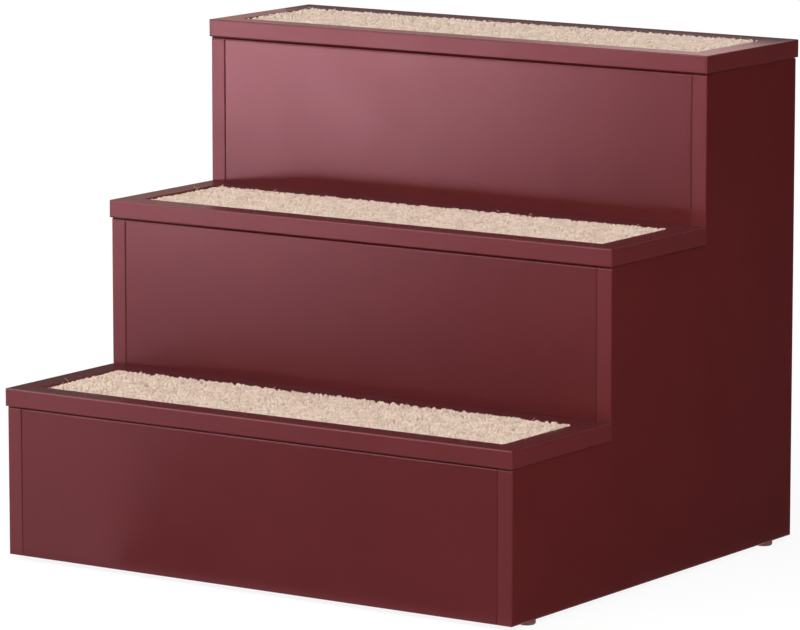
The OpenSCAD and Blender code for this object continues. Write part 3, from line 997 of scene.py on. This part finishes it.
soft_box("key_soft_box", (-1.45, -1.00, 1.15), (0, 0, 0.22), size=1.3, power=19.5, mirrored=False)
soft_box("right_fill", (1.50, -1.00, 0.70), (0, 0, 0.2), size=1.0, power=14.0)
soft_box("high_front_box", (0.55, -2.05, 2.30), (0, 0, 0.2), size=1.3, power=11.0)
soft_box("overhead_soft_box", (0.0, 0.0, 2.2), (0, 0, 0), size=1.5, power=16.0)

# %% [markdown]
# A lacquered board is judged by what it mirrors. Photographers hang dark and bright cards just out of
# the picture, so that each glossy face has the right thing to mirror. The cards below do this job.
# Reflections alone see them: they throw no shadow and take no light away from the stairs.


# %% A card that only the lacquer sees
def card(name, corners, strength, shade=(1.0, 1.0, 1.0)):
    """A flat card of one brightness and shade that only reflections see."""
    material = bpy.data.materials.new(name)
    material.use_nodes = True
    tree = material.node_tree
    tree.nodes.clear()
    glow = add_node(tree, "ShaderNodeEmission", {"Color": colour(*shade), "Strength": strength})
    add_node(tree, "ShaderNodeOutputMaterial", {"Surface": glow.outputs[0]})
    held = bpy.data.objects.new(name, flat_mesh(name, corners, material))
    held.visible_camera = False
    held.visible_diffuse = False
    held.visible_shadow = False
    held.visible_transmission = False
    bpy.context.scene.collection.objects.link(held)
    return held


def upright_card(name, start, finish, bottom, top, strength, shade=(1.0, 1.0, 1.0)):
    """A card that stands on the line from start to finish, between two heights."""
    corners = ((*start, bottom), (*finish, bottom), (*finish, top), (*start, top))
    return card(name, corners, strength, shade)


def level_card(name, near_left, far_right, height, strength):
    """A card that lies level, between its near left and its far right corner."""
    left, near = near_left
    right, far = far_right
    corners = ((left, near, height), (right, near, height), (right, far, height), (left, far, height))
    return card(name, corners, strength)


# %% [markdown]
# The camera looks down on the upright front boards from their right. So what they mirror is the
# ground in front, out to the left, and that ground makes the broad pink sheen at the upper left of
# the risers. It is a grey sweep with a bright field far out. The field has soft ends, and it stays to
# the left of a line that starts under the stairs, where the sheen stops.

# %% Sweep in front
SWEEP_GREY = 0.4
LIT_SIDE_EXTRA = 2 * SWEEP_GREY
SWEEP_HEADING = math.radians(32.5)
LINE_SOFTNESS = 0.02
FIELD_STRENGTH = 36.5
FIELD_BEGINS = 2.25
FIELD_IS_FULL = 4.5
FIELD_FADES = 5.4
FIELD_ENDS = 6.1
FIELD_THINS = 0.05
FIELD_IS_GONE = 0.35
NEAREST = 0.05
JUST_OFF_THE_FLOOR = 0.6 * MILLIMETRE
FRONT = -0.26


def eased(tree, value, low, high):
    """0 below low and 1 above high, with a soft start and a soft end."""
    settings = {"Value": value, "From Min": low, "From Max": high}
    return add_node(tree, "ShaderNodeMapRange", settings, interpolation_type="SMOOTHSTEP").outputs[0]


def light_up(sweep):
    """Brightens a card to the left of a line through the stairs, with a bright field far out."""
    tree = sweep.data.materials[0].node_tree
    place = add_node(tree, "ShaderNodeTexCoord").outputs["Object"]
    outward = (-math.sin(SWEEP_HEADING), -math.cos(SWEEP_HEADING), 0.0)
    leftward = (-math.cos(SWEEP_HEADING), math.sin(SWEEP_HEADING), 0.0)
    distance = calculate(tree, "MAXIMUM", along(tree, place, outward), NEAREST)
    slant = calculate(tree, "DIVIDE", along(tree, place, leftward), distance)
    lit_side = eased(tree, slant, 0.0, LINE_SOFTNESS)
    rise = eased(tree, distance, FIELD_BEGINS, FIELD_IS_FULL)
    fall = eased(tree, distance, FIELD_FADES, FIELD_ENDS)
    thinned = eased(tree, slant, FIELD_THINS, FIELD_IS_GONE)
    field = calculate(tree, "MULTIPLY", rise, calculate(tree, "SUBTRACT", 1.0, fall))
    field = calculate(tree, "MULTIPLY", field, calculate(tree, "SUBTRACT", 1.0, thinned))
    field = calculate(tree, "MULTIPLY", field, FIELD_STRENGTH)
    extra = calculate(tree, "MULTIPLY", calculate(tree, "ADD", field, LIT_SIDE_EXTRA), lit_side)
    strength = calculate(tree, "ADD", extra, SWEEP_GREY)
    tree.links.new(strength, tree.nodes["Emission"].inputs["Strength"])


sweep = level_card("sweep_in_front", (-9, -12), (3, FRONT), JUST_OFF_THE_FLOOR, SWEEP_GREY)
light_up(sweep)
print("sweep lit, full from", FIELD_IS_FULL, "to", FIELD_FADES, "m")

# %% [markdown]
# The other faces mirror other places. The right side has black velvet and a dark flag beside it, to
# keep its deep colour. The level borders of the treads mirror what stands far behind at the left,
# and warm and pale cards there give them their brown-pink gloss. Two flags close to the stairs dim
# the left ends of those borders and the far border of the top. A bright wall high at the left lights
# the eased edges, and a dark band closes the horizon in front.

# %% Cards around the stairs
WARM = (1.0, 0.60, 0.55)
PALE = (1.0, 0.67, 0.65)
BEHIND = 4.0
CARD_TOP = 2.5
RIGHT_SIDE = 0.27
upright_card("bright_wall", (-3.5, -6.06), (-6.58, 2.39), 1.9, 6, 5.0)
upright_card("flag_behind_left", (-1.334, 0.257), (-0.174, 1.04), 0, 0.43, 0.03)
level_card("velvet_at_right", (RIGHT_SIDE, FRONT), (6, 6), JUST_OFF_THE_FLOOR, 0.05)
upright_card("flag_at_right", (0.65, 3.3), (3.1, 1.7), 0, CARD_TOP, 0.02)
upright_card("warm_card_behind", (-3.05, BEHIND), (-2.36, BEHIND), 0, CARD_TOP, 0.64, WARM)
upright_card("pale_card_behind", (-2.36, BEHIND), (0.5, BEHIND), 0, CARD_TOP, 1.18, PALE)
upright_card("corner_card_behind", (-4, BEHIND), (-3.05, BEHIND), 0, CARD_TOP, 0.68, WARM)
upright_card("warm_card_at_left", (-4, 0), (-4, BEHIND), 0, CARD_TOP, 0.62, WARM)
upright_card("flag_behind_top", (-0.30, 0.245), (RIGHT_SIDE, 0.245), 0.43, 0.460, 0.13)
upright_card("dark_band_in_front", (-14, -11.9), (3, -11.9), 0, 2.7, 0.1)
print("cards hung")

# %% [markdown]
# Last, the plain view transform, which shows a colour as it was written.

# %% Finish
bpy.context.scene.view_settings.view_transform = "Standard"
